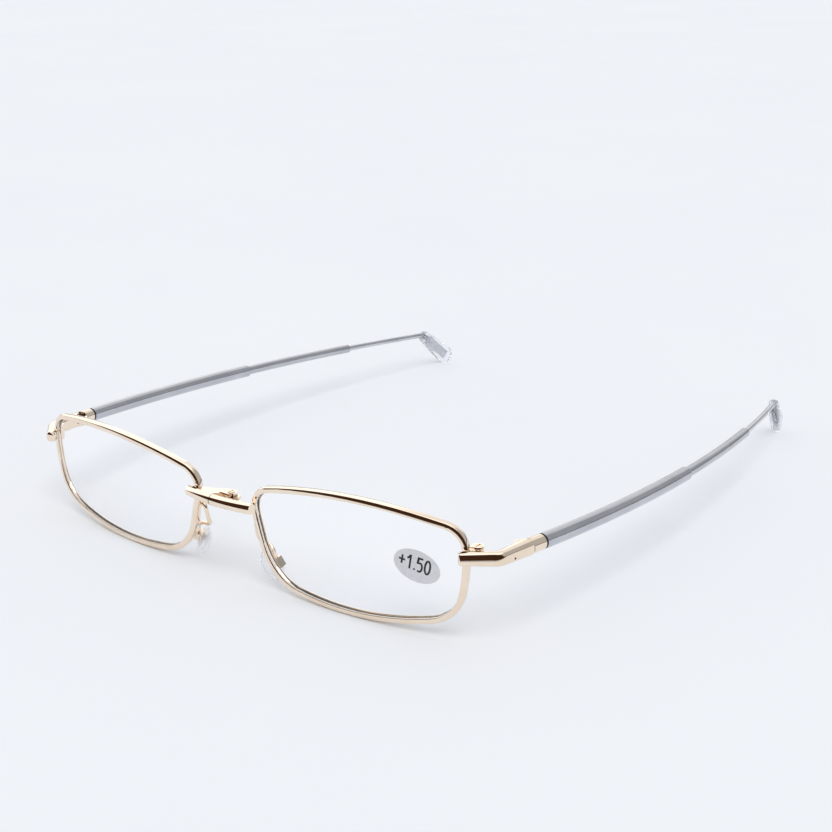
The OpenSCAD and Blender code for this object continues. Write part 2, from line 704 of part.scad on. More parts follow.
arm_path = [
    arm_from,
    [rim_nose[0] - 0.55, 0.95, arm_from[2] + 0.1],
    [rim_nose[0] - 0.95, 1.1, arm_from[2] - 1.3],
    [rim_nose[0] - 1, 1.5, arm_from[2] - 3.1],
    [rim_nose[0] - 0.85, 2, arm_from[2] - 4.4],
    [rim_nose[0] + 0.3, 2.35, arm_from[2] - 5],
    [rim_nose[0] + 1.8, 2.45, arm_from[2] - 5.1],
    pad_pt([pad_axis + 0.6, 0.3, 3.1]),
    pad_pt([pad_axis + 0.5, 0, 1.5]),
    pad_pt([pad_axis + 0.5, 0, cavity_h + 0.1])
];
arm_last = len(arm_path) - 1;
function blend(a, b, c, d, t) = ((b * 2) + (c - a) * t + (a * 2 - b * 5 + c * 4 - d) * t * t
    + (b * 3 - a - c * 3 + d) * t * t * t) / 2;
function arm_at(i, t) = blend(
    arm_path[max(i - 1, 0)],
    arm_path[i],
    arm_path[i + 1],
    arm_path[min(i + 2, arm_last)],
    t
);
arm_line = concat(
    [for (i = [0:arm_last - 1]) for (k = [0:3]) arm_at(i, k / 4)],
    [arm_path[arm_last]]
);
function wire_ring(line, i, r) = let(
    d = unit(line[min(i + 1, len(line) - 1)] - line[max(i - 1, 0)]),
    a = unit(cross(d, [0.3, 0.95, 0])),
    b = cross(d, a)
) [for (k = [0:11]) line[i] + (a * cos(k * 30) + b * sin(k * 30)) * r];
module pad_arm_left() {
    difference() {
        union() {
            loft([for (i = [0:len(arm_line) - 1]) wire_ring(arm_line, i, arm_d / 2)]);
            boss_frame() pad_block(box_from, pad_axis + boss_r + 0.45 - box_from, 0.9, box_h);
        }
        boss_frame()
            pad_block(box_from - 0.5, pad_axis + boss_r + 0.65 - box_from, boss_w / 2 + run_gap, cavity_h);
        pad_pin_frame() cylinder(d = pad_screw_d, h = 4 * boss_w, center = true, $fn = 32);
    }
}
module pad_screw_left() {
    pad_pin_frame() {
        cylinder(d = pad_screw_d, h = 1.8, center = true, $fn = 32);
        translate([0, 0, -1.2]) cylinder(r = pad_screw_d / 2 + 0.2, h = 0.3, $fn = 32);
    }
}

// Temple: ferrule, ring, tubes, bushes, rod and tip
module seam_frame(y) {
    arc_frame() rotate([0, 0, -temple_out_angle]) translate([temple_r, y - ferrule_full, 0])
        rotate([-90, 0, 0]) children();
}
module ferrule_left() {
    difference() {
        union() {
            difference() {
                seam_frame(-1) cylinder(d = ferrule_d, h = ferrule_full - ring_l + 1, $fn = 48);
                translate([temple_x - ferrule_d, hinge_seam_y - 2 * ferrule_d, hinge_z - ferrule_d])
                    cube([2 * ferrule_d, 2 * ferrule_d + face_gap, 2 * ferrule_d]);
            }
            translate([0, 0, hinge_mid_z - hinge_mid_h / 2]) linear_extrude(hinge_mid_h) union() {
                translate([hinge_x, hinge_y]) circle(r = hinge_leaf_r, $fn = 48);
                polygon([
                    [hinge_x, hinge_seam_y + face_gap],
                    [temple_x, hinge_seam_y + face_gap],
                    [temple_x, hinge_y + 2.4],
                    [hinge_x + 0.8, hinge_y + 2.4],
                    [hinge_x, hinge_y + hinge_leaf_r]
                ]);
            }
            seam_frame(ferrule_full - ring_l) cylinder(r = wall_in - 0.03, h = ring_l + 4, $fn = 48);
        }
        at_hinge(hinge_mid_z + hinge_mid_h / 2) cylinder(r = hinge_sweep_r, h = ferrule_d, $fn = 48);
        at_hinge(hinge_mid_z - hinge_mid_h / 2 - ferrule_d)
            cylinder(r = hinge_sweep_r, h = ferrule_d, $fn = 48);
        at_hinge(hinge_mid_z - ferrule_d)
            cylinder(r = hinge_screw_d / 2 + run_gap, h = 2 * ferrule_d, $fn = 32);
    }
}
module ring_left() {
    seam_frame(ferrule_full - ring_l) linear_extrude(ring_l) annulus(ferrule_d / 2 - 0.1, wall_in - 0.03);
}
module tube(a, b, r_out, r_in, r_mouth) {
    difference() {
        arc_piece(a, b) circle(r = r_out, $fn = 48);
        arc_piece(a - 1, b - collar_l) circle(r = r_in, $fn = 48);
        arc_piece(b - collar_l - 1, b + 1) circle(r = r_mouth, $fn = 48);
        along(b) rotate([-90, 0, 0]) rotate_extrude($fn = 48)
            polygon([[r_out - 0.3, 0.1], [r_out + 0.3, -0.5], [r_out + 0.3, 0.1]]);
    }
}
module outer_tube_left() {
    tube(0, l_outer, outer_d / 2, wall_in, middle_d / 2 + slide_gap);
}
module middle_tube_left() {
    tube(l_outer - inside_l, l_middle, middle_d / 2, mid_in, rod_d / 2 + slide_gap);
}
module middle_bush_left() {
    arc_piece(l_outer - inside_l, l_outer - inside_l + bush_l) annulus(wall_in - slide_gap, middle_d / 2);
}
module rod_bush_left() {
    arc_piece(l_middle - inside_l, l_middle - inside_l + bush_l) annulus(mid_in - slide_gap, rod_d / 2);
}
strip_from = 1.1;
module rod_end() {
    along(l_bend) translate([0, 0, -bend_r]) rotate([0, -90, 0]) rotate([0, 0, -2])
        rotate_extrude(angle = bend_a + 4, $fn = 96)
            translate([bend_r, 0]) circle(r = rod_d / 2 - 0.01, $fn = 32);
    tip_frame() translate([0, -0.08, 0]) rotate([-90, 0, 0])
        cylinder(r = rod_d / 2 - 0.02, h = strip_from + 0.38, $fn = 32);
    tip_frame() translate([-strip_t / 2, strip_from, -strip_w / 2]) cube([strip_t, strip_l, strip_w]);
    tip_frame() for (k = [1:strip_l / rib_step - 0.5])
        translate([-strip_t / 2 - 0.1, strip_from + k * rib_step - 0.15, -strip_w / 2 + 0.2])
            cube([strip_t + 0.2, 0.3, strip_w - 0.4]);
}
module rod_left() {
    arc_piece(l_middle - inside_l, l_bend) circle(d = rod_d, $fn = 32);
    rod_end();
}
cap_at = 0.2;
tip_outline = concat(
    [for (a = [-90:9:90]) [tip_reach + tip_r * cos(a), tip_r * sin(a)]],
    [for (a = [90:15:270]) [cap_at + cap_r * cos(a), cap_r * sin(a)]]
);
module tip_left() {
    difference() {
        tip_frame() translate([-tip_t / 2, 0, 0]) rotate([90, 0, 90])
            linear_extrude(tip_t) polygon(tip_outline);
        rod_end();
    }
}

// Oval label that shows the lens power
label_w = 10;
label_h = 6.8;
label_t = 0.12;
label_gap = 0.02;
label_u = rim_w / 2 - 9.5;
label_v = 0.05;
label_turn = -14;
function label_pt(u, v, w) = let(
    y = (u * u + v * v) / (2 * base_r),
    back = unit([-u / base_r, 1, -v / base_r])
) placed([u, y, v] - back * (lens_half(0) + w));
function label_ring(f, w) = [
    for (k = [0:35]) let(
        a = label_w / 2 * f * cos(k * 10),
        b = -label_h / 2 * f * sin(k * 10)
    ) label_pt(
        label_u + a * cos(label_turn) - b * sin(label_turn),
        label_v + a * sin(label_turn) + b * cos(label_turn),
        w
    )
];
module label_left() {
    loft(concat(
        [for (f = [0.1, 0.4, 0.7, 1]) label_ring(f, label_gap + label_t)],
        [for (f = [1, 0.7, 0.4, 0.1]) label_ring(f, label_gap)]
    ));
}

// Each piece in its place
module left_rim() {
    at_origin() color(gold) rim_left();
}
module right_rim() {
    at_origin() color(gold) right_of() rim_left();
}
module left_lens() {
    at_origin() color(clear) lens_left();
}
module right_lens() {
    at_origin() color(clear) right_of() lens_left();
}
module left_end_piece() {
    at_origin() color(gold) end_piece_left();
}
module right_end_piece() {
    at_origin() color(gold) right_of() end_piece_left();
}
module left_clamp_upper() {
    at_origin() color(gold) clamp_upper_left();
}
module right_clamp_upper() {
    at_origin() color(gold) right_of() clamp_upper_left();
}
module left_clamp_lower() {
    at_origin() color(gold) clamp_lower_left();
}
module right_clamp_lower() {
    at_origin() color(gold) right_of() clamp_lower_left();
}
module left_clamp_screw() {
    at_origin() color(gold) clamp_screw_left();
}
module right_clamp_screw() {
    at_origin() color(gold) right_of() clamp_screw_left();
}
module left_hinge_screw() {
    at_origin() color(gold) hinge_screw_left();
}
module right_hinge_screw() {
    at_origin() color(gold) right_of() hinge_screw_left();
}
module left_pad_arm() {
    at_origin() color(gold) pad_arm_left();
}
module right_pad_arm() {
    at_origin() color(gold) right_of() pad_arm_left();
}
module left_pad_screw() {
    at_origin() color(gold) pad_screw_left();
}
module right_pad_screw() {
    at_origin() color(gold) right_of() pad_screw_left();
}
module left_nose_pad() {
    at_origin() color(clear) pad_left();
}
module right_nose_pad() {
    at_origin() color(clear) right_of() pad_left();
}
module left_ferrule() {
    at_origin() color(gold) ferrule_left();
}
module right_ferrule() {
    at_origin() color(gold) right_of() ferrule_left();
}
module left_tube_ring() {
    at_origin() color(dark) ring_left();
}
module right_tube_ring() {
    at_origin() color(dark) right_of() ring_left();
}
module left_outer_tube() {
    at_origin() color(steel) outer_tube_left();
}
module right_outer_tube() {
    at_origin() color(steel) right_of() outer_tube_left();
}
module left_middle_tube() {
    at_origin() color(steel) middle_tube_left();
}
module right_middle_tube() {
    at_origin() color(steel) right_of() middle_tube_left();
}
module left_middle_bush() {
    at_origin() color(dark) middle_bush_left();
}
module right_middle_bush() {
    at_origin() color(dark) right_of() middle_bush_left();
}
module left_rod() {
    at_origin() color(steel) rod_left();
}
module right_rod() {
    at_origin() color(steel) right_of() rod_left();
}
module left_rod_bush() {
    at_origin() color(dark) rod_bush_left();
}
module right_rod_bush() {
    at_origin() color(dark) right_of() rod_bush_left();
}
module left_tip() {
    at_origin() color(clear) tip_left();
}
module right_tip() {
    at_origin() color(clear) right_of() tip_left();
}
module left_bridge_bar() {
    at_origin() color(gold) left_bridge();
}
module right_bridge_bar() {
    at_origin() color(gold) right_bridge();
}
module bridge_screw() {
    at_origin() color(gold) fold_screw();
}
module power_label() {
    at_origin() color([0.82, 0.83, 0.85]) label_left();
}

left_rim();
right_rim();
left_lens();
right_lens();
power_label();
left_end_piece();
right_end_piece();
left_clamp_upper();
right_clamp_upper();
left_clamp_lower();
right_clamp_lower();
left_clamp_screw();
right_clamp_screw();
left_hinge_screw();
right_hinge_screw();
left_bridge_bar();
right_bridge_bar();
bridge_screw();
left_pad_arm();
right_pad_arm();
left_pad_screw();
right_pad_screw();
left_nose_pad();
right_nose_pad();
left_ferrule();
right_ferrule();
left_tube_ring();
right_tube_ring();
left_outer_tube();
right_outer_tube();
left_middle_tube();
right_middle_tube();
left_middle_bush();
right_middle_bush();
left_rod();
right_rod();
left_rod_bush();
right_rod_bush();
left_tip();
right_tip();
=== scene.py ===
"""Folding reading glasses with telescopic temples: finishes, small visible pieces, studio and camera."""

import json
import math

import bmesh
import bpy
from mathutils import Matrix, Vector

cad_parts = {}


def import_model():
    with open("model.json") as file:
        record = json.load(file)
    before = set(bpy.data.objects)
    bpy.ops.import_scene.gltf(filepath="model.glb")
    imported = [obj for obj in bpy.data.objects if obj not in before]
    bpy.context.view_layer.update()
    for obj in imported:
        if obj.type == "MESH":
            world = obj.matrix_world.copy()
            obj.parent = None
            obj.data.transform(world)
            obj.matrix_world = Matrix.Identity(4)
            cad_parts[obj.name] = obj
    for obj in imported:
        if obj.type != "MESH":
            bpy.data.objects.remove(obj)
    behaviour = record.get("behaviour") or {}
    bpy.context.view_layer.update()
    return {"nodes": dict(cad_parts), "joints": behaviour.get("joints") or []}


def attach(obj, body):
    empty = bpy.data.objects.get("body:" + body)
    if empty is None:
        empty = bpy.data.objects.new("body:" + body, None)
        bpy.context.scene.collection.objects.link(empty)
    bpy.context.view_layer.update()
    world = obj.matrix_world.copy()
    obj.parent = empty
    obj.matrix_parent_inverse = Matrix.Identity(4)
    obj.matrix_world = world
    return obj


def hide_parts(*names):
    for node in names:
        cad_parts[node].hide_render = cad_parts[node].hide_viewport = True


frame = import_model()
SIDES = ("left", "right")
MM = 0.001


# Materials

# Most of a noise lies between these two values
NOISE_LOW, NOISE_HIGH = 0.3, 0.7


class Tree:
    """A node tree, with short calls to add and link nodes."""

    def __init__(self, tree):
        self.tree = tree

    def link(self, a, b):
        self.tree.links.new(a, b)

    def feed(self, socket, value):
        """Links the socket to another one, or sets it to a number or colour."""
        if isinstance(value, bpy.types.NodeSocket):
            self.link(value, socket)
        else:
            socket.default_value = value

    def node(self, kind, **sockets):
        """A new node with some sockets fed. An underscore stands for a space in their names."""
        made = self.tree.nodes.new("ShaderNode" + kind)
        for key, value in sockets.items():
            self.feed(made.inputs[key.replace("_", " ")], value)
        return made

    def reckon(self, operation, *values):
        """A Math node's result on sockets and numbers."""
        made = self.node("Math")
        made.operation = operation
        for socket, value in zip(made.inputs, values):
            self.feed(socket, value)
        return made.outputs[0]

    def towards(self, vector, way):
        """How far a vector reaches in a direction."""
        made = self.node("VectorMath")
        made.operation = "DOT_PRODUCT"
        self.feed(made.inputs[0], vector)
        self.feed(made.inputs[1], way)
        return made.outputs["Value"]

    def span(self, value, low, high, start=0.0, end=1.0, soft=False):
        """The value, mapped from low..high to start..end."""
        made = self.node("MapRange")
        if soft:
            made.interpolation_type = "SMOOTHSTEP"
        for key, number in (("From Min", low), ("From Max", high), ("To Min", start), ("To Max", end)):
            made.inputs[key].default_value = number
        self.link(value, made.inputs["Value"])
        return made.outputs["Result"]

    def mix(self, share, first, second):
        """A shader between two shaders, all of the second one where the share is 1."""
        made = self.node("MixShader")
        for socket, value in zip(made.inputs, (share, first, second)):
            self.feed(socket, value)
        return made.outputs[0]


class Shader(Tree):
    """A new material with its Principled shader."""

    def __init__(self, name):
        self.material = bpy.data.materials.new(name)
        self.material.use_nodes = True
        super().__init__(self.material.node_tree)
        self.bsdf = self.tree.nodes["Principled BSDF"]

    def put(self, **sockets):
        """Feeds the Principled shader's sockets."""
        for key, value in sockets.items():
            self.feed(self.bsdf.inputs[key.replace("_", " ")], value)

    def place(self, stretch=(1, 1, 1)):
        """Object coordinates, scaled."""
        where = self.node("TexCoord").outputs["Object"]
        return self.node("Mapping", Vector=where, Scale=stretch).outputs["Vector"]

    def noise(self, vector, scale, detail=3.0, rough=0.55):
        made = self.node("TexNoise", Vector=vector, Scale=scale, Detail=detail, Roughness=rough)
        return made.outputs["Fac"]

    def tint(self, value, low, high, start=NOISE_LOW, end=NOISE_HIGH):
        """The base colour by value: low up to the start, high from the end on."""
        made = self.node("ValToRGB", Fac=value)
        for spot, at, colour in zip(made.color_ramp.elements, (start, end), (low, high)):
            spot.position = at
            spot.color = (*colour, 1)
        self.put(Base_Color=made.outputs["Color"])

    def gloss(self, value, low, high):
        """The roughness by value."""
        self.put(Roughness=self.span(value, NOISE_LOW, NOISE_HIGH, low, high))

    def bump(self, height, strength, distance):
        made = self.node("Bump", Height=height, Strength=strength, Distance=distance)
        self.put(Normal=made.outputs["Normal"])

    def finish(self, surface):
        self.link(surface, self.tree.nodes["Material Output"].inputs["Surface"])


def polished(name, low, high, rough_low, rough_high):
    """Plated metal: slow colour drift, handling marks in the roughness and a very fine texture."""
    s = Shader(name)
    place = s.place()
    s.put(Metallic=1.0)
    s.tint(s.noise(place, scale=140, detail=4), low, high)
    s.gloss(s.noise(place, scale=420, detail=5, rough=0.65), rough_low, rough_high)
    s.bump(s.noise(place, scale=1500), strength=0.06, distance=0.02 * MM)
    return s.material


# The hairlines' share in the tone of drawn steel, and the range of that tone
LINE_SHARE, TONE_LOW, TONE_HIGH = 0.55, 0.55, 1.0


def brushed(name, low, high, rough_low, rough_high):
    """Drawn steel: hairlines along the tube and a slow drift in tone."""
    s = Shader(name)
    lines = s.noise(s.place(stretch=(1, 0.02, 1)), scale=2600, detail=2)
    drift = s.noise(s.place(), scale=90)
    tone = s.reckon("MULTIPLY_ADD", lines, LINE_SHARE, drift)
    s.put(Metallic=1.0)
    s.tint(tone, low, high, start=TONE_LOW, end=TONE_HIGH)
    s.gloss(lines, rough_low, rough_high)
    s.bump(lines, strength=0.12, distance=0.02 * MM)
    return s.material


def clear(name, low, high, rough_low, rough_high, ior, thin=0.0, painted_glow=0.0, bump=0.03):
    """Clear plastic or glass with faint marks. Thin is the share of light that goes straight through. The
    painted glow is a faint white emission, painted light that brightens the part though it is no lamp.

    The lamps' light goes through too, so that no black shadow falls.
    """
    s = Shader(name)
    place = s.place()
    # The emission is painted light: a faint white glow that brightens the clear part.
    s.put(IOR=ior, Transmission_Weight=1.0, Emission_Strength=painted_glow, Emission_Color=(0.97, 0.98, 1.0, 1))
    s.tint(s.noise(place, scale=300), low, high)
    s.put(Roughness=s.span(s.noise(place, scale=600, detail=4), 0.35, NOISE_HIGH, rough_low, rough_high))
    if bump:
        s.bump(s.noise(place, scale=900, detail=2), bump, distance=0.03 * MM)
    rays = s.node("LightPath").outputs
    lamps = s.reckon("MAXIMUM", rays["Is Shadow Ray"], rays["Is Diffuse Ray"])
    through = s.node("BsdfTransparent", Color=(0.96, 0.965, 0.975, 1))
    s.finish(s.mix(s.reckon("MAXIMUM", lamps, thin), s.bsdf.outputs[0], through.outputs[0]))
    return s.material


def moulded(name, low, high, rough_low, rough_high, grain=2200, bump=0.1):
    """Moulded plastic or print: fine grain in colour, gloss and surface."""
    s = Shader(name)
    grains = s.noise(s.place(), grain)
    s.tint(grains, low, high)
    s.gloss(grains, rough_low, rough_high)
    s.bump(grains, bump, distance=0.03 * MM)
    return s.material


gold = polished("gold", (0.90, 0.74, 0.58), (0.97, 0.84, 0.70), 0.03, 0.08)
screw_gold = polished("screw_gold", (0.76, 0.60, 0.44), (0.90, 0.76, 0.60), 0.10, 0.22)
steel = brushed("steel", (0.48, 0.49, 0.52), (0.59, 0.60, 0.63), 0.10, 0.18)
rod_steel = brushed("rod_steel", (0.52, 0.53, 0.56), (0.68, 0.69, 0.72), 0.05, 0.12)
# The lens gets a faint painted glow, an emission that makes it read a little brighter.
lens = clear("lens", (0.992, 0.994, 1.0), (1, 1, 1), 0.0, 0.006, ior=1.12, painted_glow=0.012, bump=0.0)
pad_clear = clear("pad_clear", (0.95, 0.955, 0.965), (0.99, 0.99, 1.0), 0.02, 0.08, ior=1.36, thin=0.62)
tip_clear = clear("tip_clear", (0.95, 0.955, 0.97), (0.99, 0.99, 1.0), 0.02, 0.06, ior=1.40, thin=0.35)
ring_dark = moulded("ring_dark", (0.012, 0.012, 0.014), (0.03, 0.03, 0.034), 0.4, 0.55)
bush_pale = moulded("bush_pale", (0.62, 0.61, 0.57), (0.72, 0.71, 0.67), 0.45, 0.6)
label_grey = moulded("label_grey", (0.58, 0.58, 0.605), (0.66, 0.66, 0.685), 0.45, 0.6, grain=1500, bump=0.05)
ink = moulded("ink", (0.006, 0.006, 0.007), (0.014, 0.014, 0.016), 0.4, 0.55)

FINISH = {
    "rim": gold, "end_piece": gold, "clamp_upper": gold, "clamp_lower": gold, "bridge_bar": gold,
    "ferrule": gold, "pad_arm": gold, "clamp_screw": screw_gold, "hinge_screw": screw_gold,
    "pad_screw": screw_gold, "outer_tube": steel, "middle_tube": steel, "rod": rod_steel,
    "lens": lens, "nose_pad": pad_clear, "tip": tip_clear, "tube_ring": ring_dark,
    "middle_bush": bush_pale, "rod_bush": bush_pale,
}
FLOWING = ("rim", "lens", "end_piece", "bridge_bar", "pad_arm")
CREASE_ANGLE = math.radians(52)
WELD_GAP = 0.001 * MM


def dress(obj, material):
    obj.data.materials.clear()
    obj.data.materials.append(material)


def flow_group():
    """Smooth shading, with a crease where two faces meet at more than the crease angle."""
    group = bpy.data.node_groups.new("flow", "GeometryNodeTree")
    group.interface.new_socket("Geometry", in_out="INPUT", socket_type="NodeSocketGeometry")
    group.interface.new_socket("Geometry", in_out="OUTPUT", socket_type="NodeSocketGeometry")
    new = group.nodes.new
    link = group.links.new
    start = new("NodeGroupInput")
    smooth = new("GeometryNodeSetShadeSmooth")
    bend = new("GeometryNodeInputMeshEdgeAngle")
    sharp = new("FunctionNodeCompare")
    sharp.inputs["B"].default_value = CREASE_ANGLE
    crease = new("GeometryNodeSetShadeSmooth")
    crease.domain = "EDGE"
    crease.inputs["Shade Smooth"].default_value = False
    link(start.outputs[0], smooth.inputs["Geometry"])
    link(smooth.outputs[0], crease.inputs["Geometry"])
    link(bend.outputs["Unsigned Angle"], sharp.inputs["A"])
    link(sharp.outputs[0], crease.inputs["Selection"])
    link(crease.outputs[0], new("NodeGroupOutput").inputs[0])
    return group


def flow(obj, group):
    """Curved CAD faces reflect as curves and not as flat facets."""
    obj.modifiers.new("weld", "WELD").merge_threshold = WELD_GAP
    obj.modifiers.new("flow", "NODES").node_group = group
    obj.modifiers.new("even", "WEIGHTED_NORMAL").keep_sharp = True


round_flow = flow_group()
for side in SIDES:
    for node, material in FINISH.items():
        dress(frame["nodes"][f"{side}_{node}"], material)
    for node in FLOWING:
        flow(frame["nodes"][f"{side}_{node}"], round_flow)
dress(frame["nodes"]["bridge_screw"], screw_gold)
dress(frame["nodes"]["power_label"], label_grey)
flow(frame["nodes"]["power_label"], round_flow)


# How pieces are built: in millimetres, until each point is placed

def joint_place(name):
    """A joint's place in millimetres."""
    return Vector(next(j for j in frame["joints"] if j["name"] == name)["pos_m"]) / MM


def angles(first, step, count):
    """Angles in radians, from a first one and a step in degrees."""
    return [math.radians(first + step * i) for i in range(count)]


def piece(name, shape, material, body, slot, *nodes):
    """A smooth piece of points and faces, which rides on a body and may replace CAD nodes."""
    points, faces = shape
    mesh = bpy.data.meshes.new(name)
    mesh.from_pydata([tuple(p) for p in points], [], faces)
    tidy = bmesh.new()
    tidy.from_mesh(mesh)
    bmesh.ops.recalc_face_normals(tidy, faces=tidy.faces)
    for face in tidy.faces:
        face.smooth = True
    tidy.to_mesh(mesh)
    tidy.free()
    obj = bpy.data.objects.new(name, mesh)
    bpy.context.scene.collection.objects.link(obj)
    dress(obj, material)
    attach(obj, body)
    if nodes:
        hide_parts(*nodes)
    return obj


def skin(rings):
    """Faces between closed rings of the same length, with one face on each end."""
    n = len(rings[0])
    faces = []
    for i in range(len(rings) - 1):
        low, high = i * n, (i + 1) * n
        faces += [(low + j, low + (j + 1) % n, high + (j + 1) % n, high + j) for j in range(n)]
    faces.append(tuple(range(n)))
    faces.append(tuple(range((len(rings) - 1) * n, len(rings) * n)))
    return [p for ring in rings for p in ring], faces


def join(*shapes):
    """Several shapes as one list of points and faces."""
    points, faces = [], []
    for more, others in shapes:
        shift = len(points)
        points += more
        faces += [tuple(shift + j for j in face) for face in others]
    return points, faces


def on_side(shape, side):
    """The left shape, or its mirror image on the right."""
    if side == "left":
        return shape
    points, faces = shape
    return [Vector((-p[0], p[1], p[2])) for p in points], faces


# Temple arc, as in the CAD source: its radius, its slope to the table, its angle outwards at the hinge,
# and how far along it the rod bends down
TEMPLE_R, SLOPE, OUT_ANGLE = 386.0, math.radians(3.3), math.radians(6.1)
BEND_AT, BEND_R = 127.7, 2.6
# Clear tip: a large round end as far from the bend as the reach, and a smaller one that takes the rod
TIP_ANGLE, TIP_REACH, TIP_R = math.radians(42), 10.863, 2.8
TIP_T, TIP_EDGE = 2.3, 0.8
CAP_R, CAP_AT = 1.75, 0.2


def clear_tip():
    """A flat drop with a rounded rim, from the rod's bend down to the table."""
    turn = -OUT_ANGLE + BEND_AT / TEMPLE_R
    c, s = math.cos(turn), math.sin(turn)
    radial = Vector((c, s * math.cos(SLOPE), -s * math.sin(SLOPE)))
    tangent = Vector((-s, c * math.cos(SLOPE), -c * math.sin(SLOPE)))
    lift = Vector((0, math.sin(SLOPE), math.cos(SLOPE)))
    bend = TIP_ANGLE - SLOPE
    start = joint_place("left_rod_slide") + radial * TEMPLE_R
    start += tangent * BEND_R * math.sin(bend) - lift * BEND_R * (1 - math.cos(bend))
    along = tangent * math.cos(bend) - lift * math.sin(bend)
    up = tangent * math.sin(bend) + lift * math.cos(bend)
    rings = []
    for lean in angles(-90, 15, 13):
        inset = TIP_EDGE * (1 - math.cos(lean))
        across = math.copysign(TIP_T / 2 - TIP_EDGE, lean) + TIP_EDGE * math.sin(lean) if lean else 0.0
        big, small = TIP_R - inset, CAP_R - inset
        outline = [(TIP_REACH + big * math.cos(a), big * math.sin(a)) for a in angles(-90, 9, 21)]
        outline += [(CAP_AT + small * math.cos(a), small * math.sin(a)) for a in angles(90, 15, 13)]
        rings.append([(start + along * x + up * z + radial * across) * MM for x, z in outline])
    return skin(rings)


# Dished nose pad: x away from the nose, y back, z up
PAD_H, PAD_W, PAD_T = 7.4, 4.8, 1.3
PAD_TURNS = (("Z", -7.5), ("X", 21), ("Y", -18))
# Where the screw's axis lies from the pad's middle
PAD_AXIS, PAD_BACK = 1.55, 0.8
# Radius of the dome, and the power that makes the oval a little fuller than an ellipse
PAD_DOME, PAD_OVAL = 18.0, 0.87
DISH_DEPTH, DISH_SPREAD = 0.18, 6.0
# Sizes of the ovals on both faces, up to where the rounded edge begins
PAD_FLAT = 0.82
PAD_STEPS = (0.06, 0.3, 0.5, 0.68, PAD_FLAT)
# Places along the neck and the barrel, each with its radius
NECK = ((0.35, 0.62), (0.6, 0.5), (0.85, 0.4), (1.05, 0.34), (1.35, 0.3))
NECK_SQUASH = 0.9
BARREL = ((-0.5, 0.5), (-0.46, 0.62), (-0.36, 0.68), (0.36, 0.68), (0.46, 0.62), (0.5, 0.5))


def dished_pad():
    """An oval pad, domed to the nose and dished behind, with its neck and the barrel round the screw."""
    turn = Matrix.Identity(3)
    for axis, angle in PAD_TURNS:
        turn = turn @ Matrix.Rotation(math.radians(angle), 3, axis)
    middle = joint_place("left_pad_rock") - turn @ Vector((PAD_AXIS, PAD_BACK, 0))

    def place(x, y, z):
        return (middle + turn @ Vector((x, y, z))) * MM

    def front(y, z):
        return -PAD_T / 2 + (y * y + z * z) / (2 * PAD_DOME)

    def back(y, z):
        dish = PAD_T / 2 - DISH_DEPTH + DISH_DEPTH * (y * y + z * z) / DISH_SPREAD
        return min(dish, PAD_T / 2)

    def oval(size, x_of):
        ring = []
        for a in angles(0, 7.5, 48):
            c, s = math.cos(a), math.sin(a)
            y = size * PAD_W / 2 * math.copysign(abs(c) ** PAD_OVAL, c)
            z = size * PAD_H / 2 * math.copysign(abs(s) ** PAD_OVAL, s)
            ring.append(place(x_of(y, z), y, z))
        return ring

    rings = [oval(size, front) for size in PAD_STEPS]
    for a in angles(-67.5, 22.5, 7):
        share = 0.5 + 0.5 * math.sin(a)
        size = PAD_FLAT + (1 - PAD_FLAT) * math.cos(a)
        rings.append(oval(size, lambda y, z: front(y, z) * (1 - share) + back(y, z) * share))
    rings += [oval(size, back) for size in reversed(PAD_STEPS)]
    neck, barrel = [], []
    turns = angles(0, 15, 24)
    for x, r in NECK:
        neck.append([place(x, PAD_BACK + r * math.cos(a), NECK_SQUASH * r * math.sin(a)) for a in turns])
    for y, r in BARREL:
        barrel.append([place(PAD_AXIS + r * math.cos(a), PAD_BACK + y, r * math.sin(a)) for a in turns])
    return join(skin(rings), skin(neck), skin(barrel))


def oval_arc(x, y, half_width, half_height, turns):
    """Points of an oval, clockwise from its top."""
    return [(x + half_width * math.sin(a), y + half_height * math.cos(a)) for a in turns]


# Lens that the label lies on, as in the CAD source: radius of its curve, its turns, its middle and half
# of its thickness
BASE_R, WRAP, LEAN = 134.0, math.radians(4.5), math.radians(1.9)
LENS_AT, LENS_HALF = Vector((33, -77.7244, 15.187)), 0.95
LABEL_AT, TEXT_TURN = (16.5, 0.05), math.radians(-10.5)
# Ink: width of a stroke, its heights above the lens, and limits on how wide and sharp its corners get
STROKE, INK_LOW, INK_TOP = 0.40, 0.05, 0.152
INK_SECTION = ((1, INK_LOW), (1, INK_TOP), (-1, INK_TOP), (-1, INK_LOW))
WIDEST_CORNER, SHARPEST_CORNER = 1.6, 0.4
# Power figures, each stroke a line of points about the label's middle
NOUGHT = oval_arc(2.26, 0.51, 0.54, 1.44, angles(0, 15, 25))
BOWL = oval_arc(0.61, 0.0, 0.54, 0.93, angles(-36, 12, 22))
FIGURES = (
    [(-3.89, 0.52), (-2.57, 0.52)],
    [(-3.22, 1.46), (-3.22, -0.43)],
    [(-2.16, 1.16), (-1.82, 1.42), (-1.50, 1.98)],
    [(-1.47, 2.05), (-1.43, -0.97)],
    [(-0.42, -0.94), (-0.42, -0.58)],
    [(1.16, 1.92), (0.22, 1.92), (0.08, 0.66)],
    BOWL,
    NOUGHT,
)


def on_label(x, y, height):
    """A point at a height above the lens, x and y from the label's middle along the text."""
    c, s = math.cos(TEXT_TURN), math.sin(TEXT_TURN)
    u = LABEL_AT[0] + x * c - y * s
    v = LABEL_AT[1] + x * s + y * c
    back = Vector((-u / BASE_R, 1, -v / BASE_R)).normalized()
    at = Vector((u, (u * u + v * v) / (2 * BASE_R), v)) - back * (LENS_HALF + height)
    return (Matrix.Rotation(WRAP, 3, "Z") @ Matrix.Rotation(LEAN, 3, "X") @ at + LENS_AT) * MM


def direction(a, b):
    return Vector((b[0] - a[0], b[1] - a[1])).normalized()


